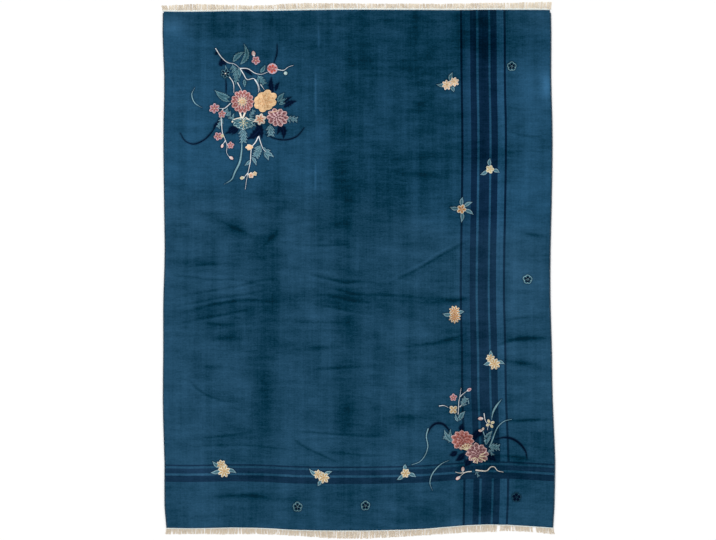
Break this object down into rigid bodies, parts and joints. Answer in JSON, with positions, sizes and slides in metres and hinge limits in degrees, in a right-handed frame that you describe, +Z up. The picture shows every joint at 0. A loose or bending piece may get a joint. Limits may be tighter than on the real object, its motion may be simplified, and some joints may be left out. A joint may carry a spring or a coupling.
{
  "type": "chinese rug",
  "caption": "Room-size hand-knotted Chinese rug: deep blue carved wool pile with wrapped sides and a short fringe at each end.",
  "frame": {"origin": "on the floor, under the middle of the whole rug's box, fringe included", "axes": "+Y up the rug along its warp, from the near end with the corner spray to the far end with the bouquet; +X across it to the right; +Z up out of the pile"},
  "size_m": [2.788, 3.8048, 0.014],
  "materials": {
    "blue_pile_wool": "sheared and carved wool pile, soft sheen, with brush marks",
    "side_cord_wool": "wool yarn wrapped tightly round a cord",
    "fringe_cotton": "undyed cotton warp ends, matt and slightly fluffed"
  },
  "bodies": {
    "root": {"knotted_pile": "blue_pile_wool", "side_cord_left": "side_cord_wool", "side_cord_right": "side_cord_wool", "fringe_near_end": "fringe_cotton", "fringe_far_end": "fringe_cotton"}
  },
  "joints": []
}
